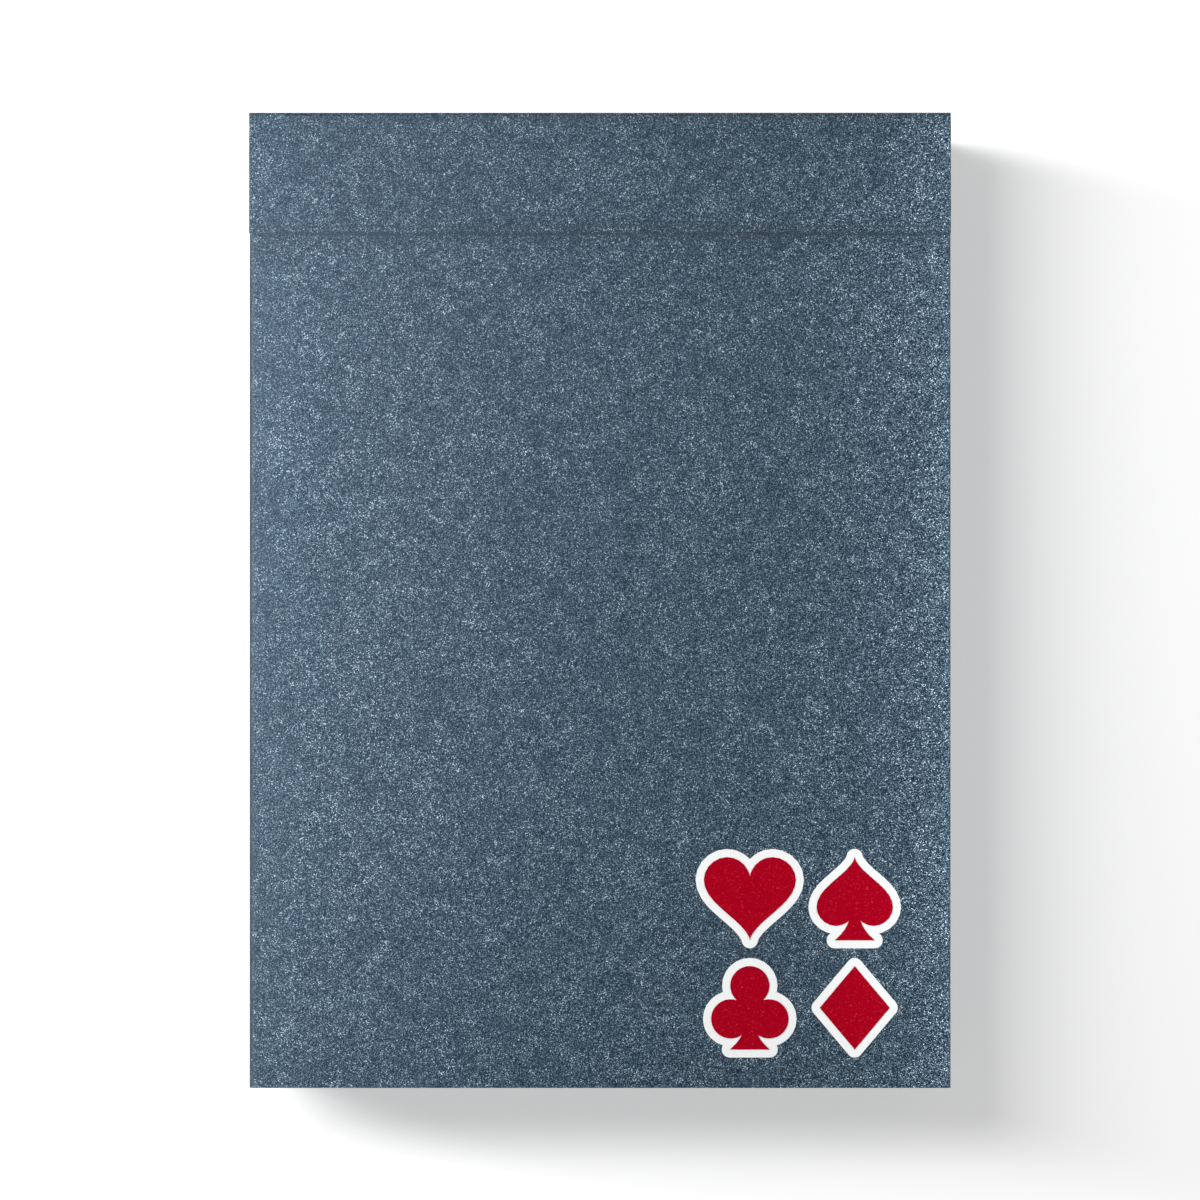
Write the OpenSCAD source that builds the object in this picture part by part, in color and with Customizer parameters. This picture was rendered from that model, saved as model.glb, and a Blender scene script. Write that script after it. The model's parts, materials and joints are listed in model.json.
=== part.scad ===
// A deck of playing cards in its tuck box.
// The box lies flat on its front panel, with the panel that carries the lid's crease facing up.
// +X is the box's width, +Y points to the lid end, +Z is up.
// The origin is at the middle of the box's footprint, on the surface that it lies on.
// All sizes are in millimetres.

/* [Cards] */
// Width of one card
card_w = 63.5; // [50:0.1:75]
// Length of one card
card_l = 88.9; // [75:0.1:110]
// Thickness of one card
card_t = 0.285; // [0.24:0.005:0.36]
// Corner radius of one card
card_corner = 3.2; // [1:0.1:6]
// Air between two neighbouring cards
card_gap = 0.01; // [0.01:0.005:0.05]

/* [Board] */
// Thickness of the box's card stock
board_t = 0.36; // [0.25:0.01:0.6]
// Outer radius of the box's fixed folds
fold_r = 0.5; // [0.2:0.05:0.9]
// Slit between a panel and the rounded root of the flap that folds on it
fold_gap = 0.05; // [0.03:0.01:0.2]
// Slit along the lid's crease, wide enough for the lid to lean back past upright
crease_gap = 0.15; // [0.13:0.01:0.3]
// Slit between the lid strip and the edges of the side panels under it
slit_gap = 0.05; // [0.03:0.01:0.2]

/* [Room inside] */
// Room beside the cards, on each side
side_clearance = 0.5; // [0.2:0.05:2]
// Room between the cards and the bottom flaps
bottom_clearance = 0.1; // [0.05:0.05:2]
// Room between the cards and the dust flaps
top_clearance = 0.26; // [0.1:0.02:2]
// Room between the cards and the back panel
back_clearance = 0.6; // [0.2:0.05:3]
// Room on each face of the tuck flap
tuck_clearance = 0.12; // [0.08:0.01:0.4]
// Room between the dust flaps and the lid top
lid_clearance = 0.12; // [0.08:0.01:0.4]

/* [Carton] */
// Radius of the half-round thumb notch in the front panel
notch_r = 9; // [5:0.5:14]
// How far the front panel's free edge stays below the lid top's outer face
front_drop = 0.3; // [0.1:0.05:2]
// How far the glue flap's ends stay inside the ends of the side panel
glue_inset = 5; // [2:0.5:15]
// Reach of the inner bottom flap from the back panel
bottom_inner_reach = 11; // [6:0.5:14]
// Reach of each bottom dust flap from its side panel
bottom_dust_reach = 14; // [8:0.5:25]

/* [Lid] */
// Distance from the lid end to the crease in the back panel
crease_drop = 11.3; // [8:0.1:20]
// How far the lid top's ends stay inside the box's sides
lid_side_inset = 0.3; // [0.1:0.05:2]
// Length of the tuck flap
tuck_len = 16; // [10:0.5:22]
// Corner radius of the tuck flap
tuck_corner = 5; // [2:0.5:9]
// Room between the tuck flap's ends and what lies beside it
tuck_side_clearance = 0.6; // [0.3:0.1:3]

/* [Dust flaps] */
// Reach of each dust flap from its side panel
dust_w = 12; // [8:0.5:16]
// Distance from the box's back face to the dust flap's edge, at its fold
dust_back_root = 1.2; // [0.8:0.1:3]
// Distance from the box's back face to the dust flap's edge, at its tip
dust_back_tip = 9; // [8:0.5:11]
// Room between the tuck flap and the dust flap's front edge, at its fold
dust_front_clearance = 0.4; // [0.2:0.1:2]
// How far the dust flap's front edge draws in towards its tip
dust_front_taper = 2; // [0:0.5:3]

/* [Emblem] */
// Distance from the box's right side to the emblem's centre
emblem_from_side = 13.9; // [13:0.1:20]
// Distance from the box's bottom end to the emblem's centre
emblem_from_bottom = 12.6; // [12.5:0.1:25]
// Height of the heart pip
pip_h = 7.8; // [5:0.1:8.5]
// Distance between the pips' centres, across
pip_pitch_x = 9.8; // [9:0.1:12]
// Distance between the pips' centres, down
pip_pitch_y = 10.2; // [9:0.1:12]
// Width of the white border round the pips
pip_border = 0.75; // [0.4:0.05:1]
// Thickness of each layer of print
film_t = 0.04; // [0.02:0.01:0.1]

/* [Hidden] */
$fn = 64;

suits = ["spades", "hearts", "clubs", "diamonds"];
ranks = ["ace", "two", "three", "four", "five", "six", "seven",
         "eight", "nine", "ten", "jack", "queen", "king"];
joker_count = 2;
suited_count = len(suits) * len(ranks);
card_count = suited_count + joker_count;

function card_name(k) = str(ranks[k % len(ranks)], "_of_", suits[floor(k / len(ranks))]);

CARTON_NODES = ["carton", "lid_strip", "lid_top", "tuck_flap",
                "left_dust_flap", "right_dust_flap", "emblem"];

paper_colour = "#526372";
ink_colour = "#b00020";
film_colour = "#f8f9fa";
card_colour = "#f3f1ea";

// Width: one layer of board on the left, the side panel and its glue flap on the right
box_w = card_w + 2 * side_clearance + 3 * board_t;
cards_x = -board_t / 2;

// Length: three glued layers at the bottom, then the cards, the dust flaps and the lid top
bottom_h = 3 * board_t;
box_l = bottom_h + bottom_clearance + card_l + top_clearance + board_t + lid_clearance + board_t;
y_bottom = -box_l / 2;
y_lid = box_l / 2;
cards_y = y_bottom + bottom_h + bottom_clearance + card_l / 2;

// Depth: front panel, tuck flap, cards and back panel
tuck_z = board_t + tuck_clearance;
deck_z = tuck_z + board_t + tuck_clearance;
deck_h = card_count * card_t + (card_count - 1) * card_gap;
box_d = deck_z + deck_h + back_clearance + board_t;

// Fold axes, in the middle of the sheet
crease_y = y_lid - crease_drop;
back_axis_z = box_d - board_t / 2;
lid_axis_y = y_lid - board_t / 2;
tuck_axis_z = tuck_z + board_t / 2;
dust_axis_y = y_lid - board_t - lid_clearance - board_t / 2;
dust_axis_x = box_w / 2 - board_t / 2;

// A folding panel's rounded root has this radius, and the panel that it folds on stops this far away
root_r = board_t / 2;
fold_reach = root_r + fold_gap;
crease_reach = root_r + crease_gap;

side_top = dust_axis_y - fold_reach;
front_top = y_lid - front_drop;
inner_w = box_w - 2 * board_t;
lid_w = box_w - 2 * lid_side_inset;
tuck_w = inner_w - 2 * (board_t + tuck_side_clearance);
dust_z0 = deck_z - tuck_clearance + dust_front_clearance;
dust_z1 = box_d - dust_back_root;

// Cutting shapes run this far past what they cut
over = 1;

// A 2D rectangle with round corners, centred
module rounded_rect(w, l, r) {
    square([w - 2 * r, l], center = true);
    square([w, l - 2 * r], center = true);
    for (sx = [-1, 1], sy = [-1, 1])
        translate([sx * (w / 2 - r), sy * (l / 2 - r)]) circle(r);
}

// Draws a shape of the XZ plane from one Y to another
module along_y(y0, y1) {
    translate([0, y1, 0]) rotate([90, 0, 0]) linear_extrude(y1 - y0) children();
}

// A box between two corners
module block(low, high) {
    translate(low) cube(high - low);
}

// The rounded root of a panel that folds about an axis along X
module root_along_x(y, z, length) {
    translate([0, y, z]) rotate([0, 90, 0]) cylinder(r = root_r, h = length, center = true);
}

// The four walls of the box, before its openings are cut
module sleeve() {
    along_y(y_bottom, front_top) translate([0, box_d / 2]) difference() {
        rounded_rect(box_w, box_d, fold_r);
        square([inner_w, box_d - 2 * board_t], center = true);
    }
}

// The glued bottom, from the outside in: outer flap, inner flap and the two dust flaps
module bottom_layers() {
    half = inner_w / 2;
    z_back = box_d - board_t;
    block([-half, y_bottom, board_t], [half, y_bottom + board_t, z_back]);
    block([-half, y_bottom + board_t, z_back - bottom_inner_reach], [half, y_bottom + 2 * board_t, z_back]);
    for (x = [-half, half - bottom_dust_reach])
        block([x, y_bottom + board_t, board_t],
              [x + bottom_dust_reach, y_bottom + bottom_h, z_back]);
}

// The flap that joins the blank's two ends, inside the right side panel
module glue_flap() {
    half = inner_w / 2;
    block([half - board_t, y_bottom + glue_inset, board_t], [half, side_top - glue_inset, box_d - board_t]);
}

// The fixed part of the box: one folded and glued blank
module carton() {
    color(paper_colour) difference() {
        union() {
            sleeve();
            bottom_layers();
            glue_flap();
        }
        // Where the lid strip lies, from the crease to the lid end
        block([-box_w, crease_y - crease_reach, box_d - board_t - slit_gap],
              [box_w, y_lid + over, box_d + over]);
        // The side panels stop at the dust flaps' folds
        block([-box_w, side_top, board_t], [box_w, y_lid + over, box_d + over]);
        translate([0, front_top, -over]) cylinder(r = notch_r, h = board_t + 2 * over);
    }
}

// The strip of the back panel between the crease and the lid top
module lid_strip() {
    color(paper_colour) {
        root_along_x(crease_y, back_axis_z, box_w);
        block([-box_w / 2, crease_y, box_d - board_t], [box_w / 2, lid_axis_y - fold_reach, box_d]);
    }
}

// The panel that closes the box's end
module lid_top() {
    color(paper_colour) {
        root_along_x(lid_axis_y, back_axis_z, lid_w);
        block([-lid_w / 2, y_lid - board_t, tuck_axis_z + fold_reach], [lid_w / 2, y_lid, back_axis_z]);
    }
}

// The flap that tucks in behind the front panel
module tuck_flap() {
    color(paper_colour) {
        root_along_x(lid_axis_y, tuck_axis_z, tuck_w);
        translate([0, 0, tuck_z]) linear_extrude(board_t) {
            translate([-tuck_w / 2, lid_axis_y - tuck_len + tuck_corner])
                square([tuck_w, tuck_len - tuck_corner]);
            translate([-tuck_w / 2 + tuck_corner, lid_axis_y - tuck_len])
                square([tuck_w - 2 * tuck_corner, tuck_len]);
            for (side = [-1, 1])
                translate([side * (tuck_w / 2 - tuck_corner), lid_axis_y - tuck_len + tuck_corner])
                    circle(tuck_corner);
        }
    }
}

// A flap at the top of a side panel, drawn for the left side
module dust_flap() {
    tip_z0 = dust_z0 + dust_front_taper;
    tip_z1 = box_d - dust_back_tip;
    color(paper_colour) translate([-dust_axis_x, 0, 0]) {
        translate([0, dust_axis_y, dust_z0]) cylinder(r = root_r, h = dust_z1 - dust_z0);
        along_y(dust_axis_y - root_r, dust_axis_y + root_r)
            polygon([[0, dust_z0], [dust_w, tip_z0], [dust_w, tip_z1], [0, dust_z1]]);
    }
}

module left_dust_flap() {
    dust_flap();
}

module right_dust_flap() {
    mirror([1, 0, 0]) dust_flap();
}

// The usual heart curve, before it is scaled: its height, the middle of its height and its points
heart_curve_h = 29;
heart_curve_mid = -2.5;
heart_points = 48;

// The other pips' proportions, as shares of the heart's height
stem_foot_share = 0.24;
stem_neck_share = 0.04;
stem_drop_share = 0.5;
spade_leaf_share = 0.83;
club_leaf_share = 0.235;
club_spread_share = 0.265;
diamond_half_share = 0.42;

function heart_point(a) = [16 * pow(sin(a), 3),
                           13 * cos(a) - 5 * cos(2 * a) - 2 * cos(3 * a) - cos(4 * a) - heart_curve_mid];

module heart_pip(h = pip_h) {
    outline = [for (i = [0 : heart_points - 1]) heart_point(360 * i / heart_points)];
    scale(h / heart_curve_h) polygon(outline);
}

// A stem that flares downwards from the middle of a pip
stem_points = 8;
function stem_half(t) = pip_h * (stem_neck_share + (stem_foot_share - stem_neck_share) * pow(t, 3));

module pip_stem() {
    drop = pip_h * stem_drop_share;
    steps = [for (i = [0 : stem_points]) i / stem_points];
    right = [for (t = steps) [stem_half(t), -drop * t]];
    left = [for (t = steps) [-stem_half(1 - t), -drop * (1 - t)]];
    polygon(concat(right, left));
}

// A heart upside down on a stem
module spade_pip() {
    leaf_h = pip_h * spade_leaf_share;
    translate([0, (pip_h - leaf_h) / 2]) rotate(180) heart_pip(leaf_h);
    pip_stem();
}

// Three round leaves on a stem
module club_pip() {
    leaf_r = pip_h * club_leaf_share;
    for (turn = [90, 210, 330])
        rotate(turn) translate([pip_h * club_spread_share, 0]) circle(leaf_r);
    circle(leaf_r / 2);
    pip_stem();
}

module diamond_pip() {
    half_h = pip_h / 2;
    half_w = pip_h * diamond_half_share;
    polygon([[0, half_h], [half_w, 0], [0, -half_h], [-half_w, 0]]);
}

// The four suits in two rows
module pips() {
    dx = pip_pitch_x / 2;
    dy = pip_pitch_y / 2;
    translate([-dx, dy]) heart_pip();
    translate([dx, dy]) spade_pip();
    translate([-dx, -dy]) club_pip();
    translate([dx, -dy]) diamond_pip();
}

// A printed emblem: red pips that stand proud of the white ground that borders them
module emblem() {
    translate([box_w / 2 - emblem_from_side, y_bottom + emblem_from_bottom, box_d]) {
        color(film_colour) linear_extrude(film_t) offset(r = pip_border, $fn = 24) pips();
        color(ink_colour) linear_extrude(2 * film_t) pips();
    }
}

// One card of the deck, counted from the back panel
module card(k) {
    z = deck_z + deck_h - (k + 1) * card_t - k * card_gap;
    color(card_colour) translate([cards_x, cards_y, z])
        linear_extrude(card_t) rounded_rect(card_w, card_l, card_corner);
}

carton();
lid_strip();
lid_top();
tuck_flap();
left_dust_flap();
right_dust_flap();
emblem();
for (k = [0 : suited_count - 1])
    card(k);
for (k = [suited_count : card_count - 1])
    card(k);  // jokers
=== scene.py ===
# A deck of playing cards in its tuck box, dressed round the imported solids.
import bmesh
import bpy
import json
import math
from mathutils import Matrix, Vector
from mathutils.geometry import delaunay_2d_cdt


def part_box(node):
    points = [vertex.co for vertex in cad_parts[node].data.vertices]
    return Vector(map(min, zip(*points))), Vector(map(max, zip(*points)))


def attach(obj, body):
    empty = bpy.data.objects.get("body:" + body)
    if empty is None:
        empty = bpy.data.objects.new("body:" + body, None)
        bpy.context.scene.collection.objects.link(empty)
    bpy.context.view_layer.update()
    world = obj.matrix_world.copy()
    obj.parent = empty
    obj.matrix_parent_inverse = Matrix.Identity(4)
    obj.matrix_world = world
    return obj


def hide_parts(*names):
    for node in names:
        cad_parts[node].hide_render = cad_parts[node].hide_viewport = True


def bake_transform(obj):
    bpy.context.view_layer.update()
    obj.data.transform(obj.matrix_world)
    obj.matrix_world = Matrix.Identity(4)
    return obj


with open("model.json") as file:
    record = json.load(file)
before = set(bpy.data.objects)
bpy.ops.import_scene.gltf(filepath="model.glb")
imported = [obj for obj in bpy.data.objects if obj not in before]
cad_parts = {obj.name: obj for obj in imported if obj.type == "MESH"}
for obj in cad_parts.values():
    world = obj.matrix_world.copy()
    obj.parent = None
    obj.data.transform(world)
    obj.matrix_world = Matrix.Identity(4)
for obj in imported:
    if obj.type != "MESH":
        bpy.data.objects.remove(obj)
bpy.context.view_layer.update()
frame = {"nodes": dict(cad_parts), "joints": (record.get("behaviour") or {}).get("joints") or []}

MM = 0.001

# Sizes that come from the solids
carton_low, carton_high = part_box("carton")
top_low, top_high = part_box("lid_top")
tuck_low, tuck_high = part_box("tuck_flap")
dust_low, dust_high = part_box("left_dust_flap")
HINGES = {j["name"]: Vector(j["pos_m"]) for j in frame["joints"] if j["type"] == "hinge"}
BOARD_T = top_high.y - top_low.y
HALF_W = carton_high.x
BOX_D = carton_high.z
Y_BOTTOM = carton_low.y
Y_LID = top_high.y
FRONT_TOP = carton_high.y
CREASE_Y = HINGES["lid_crease"].y
LID_HALF_W = top_high.x
TUCK_HALF_W = tuck_high.x

# Outer radii of the folds
LEFT_FOLD_R = 0.5 * MM
RIGHT_FOLD_R = 0.38 * MM
LID_FOLD_R = 0.38 * MM
TUCK_FOLD_R = 0.42 * MM
DUST_FOLD_R = 0.41 * MM
SIDE_TOP = dust_high.y - DUST_FOLD_R

# Cuts and flaps
NOTCH_R = 9 * MM
GLUE_INSET = 5 * MM
BOTTOM_INNER_REACH = 11 * MM
BOTTOM_DUST_REACH = 14 * MM
BOTTOM_TAPER = 3 * MM
TUCK_CORNER = 5 * MM
DUST_CORNER = 2 * MM
DUST_FRONT_TAPER = 2 * MM
DUST_TIP_BACK = 9 * MM
FLAP_GAP = 0.08 * MM

# Seams between neighbouring pieces of the one sheet, on panels that stay flat
PANEL_SEAM_Y = CREASE_Y - 3 * MM
STRIP_SEAM_Y = CREASE_Y + 5.5 * MM
LID_SEAM_Z = BOX_D / 2

# The crease is scored three times: distance above the hinge line, depth, half width and darkness of each
# line. The darkness is painted shade in the groove, with some wear of the coating.
SCORES = ((-0.08 * MM, 0.05 * MM, 0.26 * MM, 0.7),
          (-0.6 * MM, 0.01 * MM, 0.25 * MM, 0.25),
          (0.62 * MM, 0.025 * MM, 0.14 * MM, 0.4))
SCORED_REACH = 1.0 * MM

# Painted shade along each fold, with some wear of its coating: how dark, up to what distance from the fold,
# and at what distance the colour is whole again
LID_FOLD_SHADE_AND_WEAR = (0.3, 0.45 * MM, 1.0 * MM)
TUCK_FOLD_SHADE_AND_WEAR = (0.5, 0.2 * MM, 0.7 * MM)
BOTTOM_FOLD_SHADE_AND_WEAR = (0.5, 0.2 * MM, 0.6 * MM)
LEFT_FOLD_SHADE_AND_WEAR = (1.0, 0.2 * MM, 0.62 * MM)
LOW_FOLD_SHADE_AND_WEAR = (0.5, 0.1 * MM, 0.5 * MM)
LID_EDGE = 0.4 * MM

# How finely the sheet is cut up: round its folds and the notch, and along its flat stretches
FOLD_STEPS = 8
NOTCH_STEPS = 24
TUCK_CORNER_STEPS = 12
DUST_CORNER_STEPS = 8
CREASE_STEPS = 40
LENGTH_STEPS = 24
PANEL_STEPS = 12
END_STEPS = 8
SIDE_STEPS = 6
FLAP_STEPS = 4

SHARP_ANGLE = math.radians(35)
OUTSIDE, INSIDE, RAW_EDGE = range(3)


def smoothstep(low, high, value):
    t = min(max((value - low) / (high - low), 0), 1)
    return t * t * (3 - 2 * t)


def spread(start, end, steps):
    """Evenly spaced values from start to end."""
    return [start + (end - start) * i / steps for i in range(steps + 1)]


def arc(centre, radius, start_deg, end_deg, steps=FOLD_STEPS):
    """Points of a fold with their normals, in the plane of its section."""
    points = []
    for angle in spread(math.radians(start_deg), math.radians(end_deg), steps):
        normal = (math.cos(angle), math.sin(angle))
        points.append(((centre[0] + radius * normal[0], centre[1] + radius * normal[1]), normal))
    return points


def straight(start, end, normal, steps):
    """Points of a flat stretch of a section, without its last one."""
    return [((x, y), normal) for x, y in zip(spread(start[0], end[0], steps)[:-1],
                                             spread(start[1], end[1], steps)[:-1])]


def score_depth(y):
    """How deep the crease's score lines press the board in."""
    return sum(depth * math.exp(-((y - CREASE_Y - place) / half) ** 2) for place, depth, half, _ in SCORES)


def shaded_and_worn(distance, dark, near, far):
    """How dark the painted shade and wear are at a distance from a fold."""
    return dark * (1 - smoothstep(near, far, distance))


def fold_shade_and_wear(p):
    """How dark the colour is painted where the board was scored or folded, from 0 to 1: painted shade in the
    crease and on the folds, with some wear of the coating.
    """
    from_top = BOX_D - p.z
    from_lid = Y_LID - p.y
    from_left = p.x + HALF_W
    shade_and_wear = [shaded_and_worn(max(from_top, from_lid), *LID_FOLD_SHADE_AND_WEAR) * smoothstep(0, LID_EDGE, from_lid),
            shaded_and_worn(max(from_lid, p.z - tuck_low.z), *TUCK_FOLD_SHADE_AND_WEAR),
            shaded_and_worn(max(p.z, p.y - Y_BOTTOM), *BOTTOM_FOLD_SHADE_AND_WEAR),
            shaded_and_worn(max(p.z, from_left), *LOW_FOLD_SHADE_AND_WEAR)]
    if p.y < CREASE_Y:
        shade_and_wear.append(shaded_and_worn(max(from_top, from_left), *LEFT_FOLD_SHADE_AND_WEAR))
    if from_top < BOARD_T / 2:
        shade_and_wear += [dark * math.exp(-((p.y - CREASE_Y - place) / half) ** 2) for place, _, half, dark in SCORES]
    return max(shade_and_wear)


def board_piece(name, rows, columns, place, present=lambda r, c: True):
    """A sheet of board from a grid. place(row, column) gives a point of the printed face and its normal.
    Cells that aren't present are cut out, and every cut shows the board's raw edge."""
    pairs = [place(row, column) for row in rows for column in columns]
    count, wide = len(pairs), len(columns)
    mesh = bmesh.new()
    verts = [mesh.verts.new(point) for point, normal in pairs]
    verts += [mesh.verts.new(point - normal * BOARD_T) for point, normal in pairs]
    cells = {(r, c) for r in range(len(rows) - 1) for c in range(wide - 1) if present(r, c)}

    def add(corners, kind):
        mesh.faces.new([verts[side * count + r * wide + c] for side, r, c in corners]).material_index = kind

    for r, c in sorted(cells):
        ring = [(r, c), (r, c + 1), (r + 1, c + 1), (r + 1, c)]
        beside = [(r - 1, c), (r, c + 1), (r + 1, c), (r, c - 1)]
        add([(0, *corner) for corner in ring], OUTSIDE)
        add([(1, *corner) for corner in reversed(ring)], INSIDE)
        for start, end, neighbour in zip(ring, ring[1:] + ring[:1], beside):
            if neighbour not in cells:
                add([(0, *end), (0, *start), (1, *start), (1, *end)], RAW_EDGE)
    bmesh.ops.delete(mesh, geom=[v for v in mesh.verts if not v.link_faces], context="VERTS")
    bmesh.ops.recalc_face_normals(mesh, faces=mesh.faces)
    piece = finish_mesh(name, mesh)
    for material in (board_print, board_inside, board_edge):
        piece.data.materials.append(material)
    add_rest(piece)
    # Painted shade along folds and scores, with some wear of the coating, kept for the paper's colour
    shade_and_wear = piece.data.attributes.new("shade_and_wear", "FLOAT", "POINT")
    shade_and_wear.data.foreach_set("value", [fold_shade_and_wear(v.co) for v in piece.data.vertices])
    return piece


def finish_mesh(name, mesh):
    """Turns a bmesh into a smooth-shaded object of the scene."""
    data = bpy.data.meshes.new(name)
    mesh.to_mesh(data)
    mesh.free()
    data.shade_smooth()
    data.set_sharp_from_angle(angle=SHARP_ANGLE)
    piece = bpy.data.objects.new(name, data)
    bpy.context.scene.collection.objects.link(piece)
    return piece


def add_rest(piece):
    """Keeps each point's place at rest, so that the paper's grain stays put when the sheet bends."""
    rest = piece.data.attributes.new("rest", "FLOAT_VECTOR", "POINT")
    rest.data.foreach_set("vector", [x for v in piece.data.vertices for x in v.co])


# Materials

def add_node(tree, kind, inputs=None, **settings):
    """A shader node with its settings, and with each input linked to a socket or set to a value."""
    node = tree.nodes.new(kind)
    for key, value in settings.items():
        setattr(node, key, value)
    for key, value in (inputs or {}).items():
        if isinstance(value, bpy.types.NodeSocket):
            tree.links.new(value, node.inputs[key])
        else:
            node.inputs[key].default_value = value
    return node


def math_node(tree, operation, first, second=0.0):
    return add_node(tree, "ShaderNodeMath", {0: first, 1: second}, operation=operation).outputs[0]


def vector_node(tree, operation, inputs):
    return add_node(tree, "ShaderNodeVectorMath", inputs, operation=operation).outputs[0]


def ramp_node(tree, factor, stops):
    """A colour ramp through the stops, each a position and a linear colour."""
    node = add_node(tree, "ShaderNodeValToRGB", {"Fac": factor})
    elements = node.color_ramp.elements
    while len(elements) < len(stops):
        elements.new(0.5)
    for element, (position, colour) in zip(elements, stops):
        element.position = position
        element.color = (*colour, 1)
    return node.outputs["Color"]


def noise_node(tree, vector, size, detail=1.0):
    """Noise with features about size metres across, around 0.5."""
    node = add_node(tree, "ShaderNodeTexNoise", {"Vector": vector, "Scale": 1 / size, "Detail": detail})
    return node.outputs["Fac"]


def new_material(name):
    material = bpy.data.materials.new(name)
    material.use_nodes = True
    return material, material.node_tree, material.node_tree.nodes["Principled BSDF"]


# The Mix node's sockets for numbers, vectors and colours share their names, and these are the colours' places
RGBA_A, RGBA_B, RGBA_RESULT = 6, 7, 2


def mix_colours(tree, factor, first, second):
    node = add_node(tree, "ShaderNodeMix", {0: factor, RGBA_A: first, RGBA_B: second}, data_type="RGBA")
    return node.outputs[RGBA_RESULT]


def attribute(tree, name):
    return add_node(tree, "ShaderNodeAttribute", attribute_name=name)


def linear(*srgb):
    """A linear colour from 8-bit sRGB values."""
    return tuple((v / 255 / 12.92) if v <= 10 else ((v / 255 + 0.055) / 1.055) ** 2.4 for v in srgb)


# The paper's flakes, the three layers of unevenness in their tone, and how much each layer shifts it
GRAIN_SIZE = 0.065 * MM
CLUSTER_SIZE = 0.4 * MM
CLOUD_SIZE = 1.4 * MM
MOTTLE_SIZE = 12 * MM
LAYER_WEIGHTS = (0.18, 0.16, 0.05)
FLAKE_TILT = 0.45
INSIDE_FIBRE = 0.3 * MM
EDGE_FIBRE = 0.12 * MM

# The paper's middle colour, and how far the grain departs from it between its darkest and its brightest
# fleck. The brightest flecks are partly the flakes' own paler tone and partly painted glints.
PAPER = (63, 83, 99)
GRAIN_AND_GLINT_LEVELS = ((0.0, -56), (0.3, -40), (0.6, -3), (0.85, 43), (0.96, 92), (1.0, 176))
# The dark slate grey that folds and scores are darkened toward: painted shade, with some wear of the coating
SHADE_AND_WEAR_COLOUR = linear(45, 57, 66) + (1,)


def make_board_print():
    """Pearlescent paper: a fine grain of slightly tilted flakes, its brightest flecks partly painted glints,
    clouded, and darkened along folds and scores by painted shade with some wear of the coating.
    """
    material, tree, shader = new_material("board_print")
    rest = attribute(tree, "rest").outputs["Vector"]
    cells = add_node(tree, "ShaderNodeTexVoronoi", {"Vector": rest, "Scale": 1 / GRAIN_SIZE}).outputs["Color"]
    chance = add_node(tree, "ShaderNodeSeparateColor", {"Color": cells})
    tone = chance.outputs["Red"]
    cluster = noise_node(tree, rest, CLUSTER_SIZE, 2)
    cloud = noise_node(tree, rest, CLOUD_SIZE, 1)
    mottle = noise_node(tree, rest, MOTTLE_SIZE, 2)
    for layer, weight in zip((cluster, cloud, mottle), LAYER_WEIGHTS):
        shift = math_node(tree, "MULTIPLY", math_node(tree, "SUBTRACT", layer, 0.5), weight)
        tone = math_node(tree, "ADD", tone, shift)
    stops = [(place, linear(*[c + level for c in PAPER])) for place, level in GRAIN_AND_GLINT_LEVELS]
    paper = ramp_node(tree, tone, stops)
    # Folds and scores are darkened toward that grey: painted shade, with some wear of the coating, made
    # uneven by the grain
    shade_and_wear = attribute(tree, "shade_and_wear").outputs["Fac"]
    for unevenness in (cluster, chance.outputs["Green"]):
        shade_and_wear = math_node(tree, "MULTIPLY", shade_and_wear, math_node(tree, "ADD", unevenness, 0.5))
    colour = mix_colours(tree, shade_and_wear, paper, SHADE_AND_WEAR_COLOUR)
    lean = vector_node(tree, "SUBTRACT", {0: cells, 1: (0.5, 0.5, 0.5)})
    lean = vector_node(tree, "SCALE", {0: lean, "Scale": FLAKE_TILT})
    upright = add_node(tree, "ShaderNodeNewGeometry").outputs["Normal"]
    flake = vector_node(tree, "NORMALIZE", {0: vector_node(tree, "ADD", {0: upright, 1: lean})})
    tree.links.new(colour, shader.inputs["Base Color"])
    tree.links.new(flake, shader.inputs["Normal"])
    shader.inputs["Metallic"].default_value = 0.34
    shader.inputs["Roughness"].default_value = 0.42
    shader.inputs["Specular IOR Level"].default_value = 0.2
    return material


def make_board_inside():
    """The unprinted side: the same dyed stock, matt and fibrous."""
    material, tree, shader = new_material("board_inside")
    rest = attribute(tree, "rest").outputs["Vector"]
    fibre = noise_node(tree, rest, INSIDE_FIBRE, 4)
    colour = ramp_node(tree, fibre, ((0.3, linear(92, 107, 120)), (0.7, linear(122, 137, 150))))
    bump = add_node(tree, "ShaderNodeBump", {"Height": fibre, "Strength": 0.3, "Distance": 0.03 * MM})
    tree.links.new(colour, shader.inputs["Base Color"])
    tree.links.new(bump.outputs["Normal"], shader.inputs["Normal"])
    shader.inputs["Roughness"].default_value = 0.85
    return material


def make_board_edge():
    """A cut edge: pale pressed fibres."""
    material, tree, shader = new_material("board_edge")
    rest = attribute(tree, "rest").outputs["Vector"]
    fibre = noise_node(tree, rest, EDGE_FIBRE, 3)
    colour = ramp_node(tree, fibre, ((0.3, linear(100, 113, 124)), (0.7, linear(152, 165, 176))))
    tree.links.new(colour, shader.inputs["Base Color"])
    shader.inputs["Roughness"].default_value = 0.9
    return material


board_print = make_board_print()
board_inside = make_board_inside()
board_edge = make_board_edge()


# The box: one folded blank, in pieces that meet on its flat panels

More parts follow.
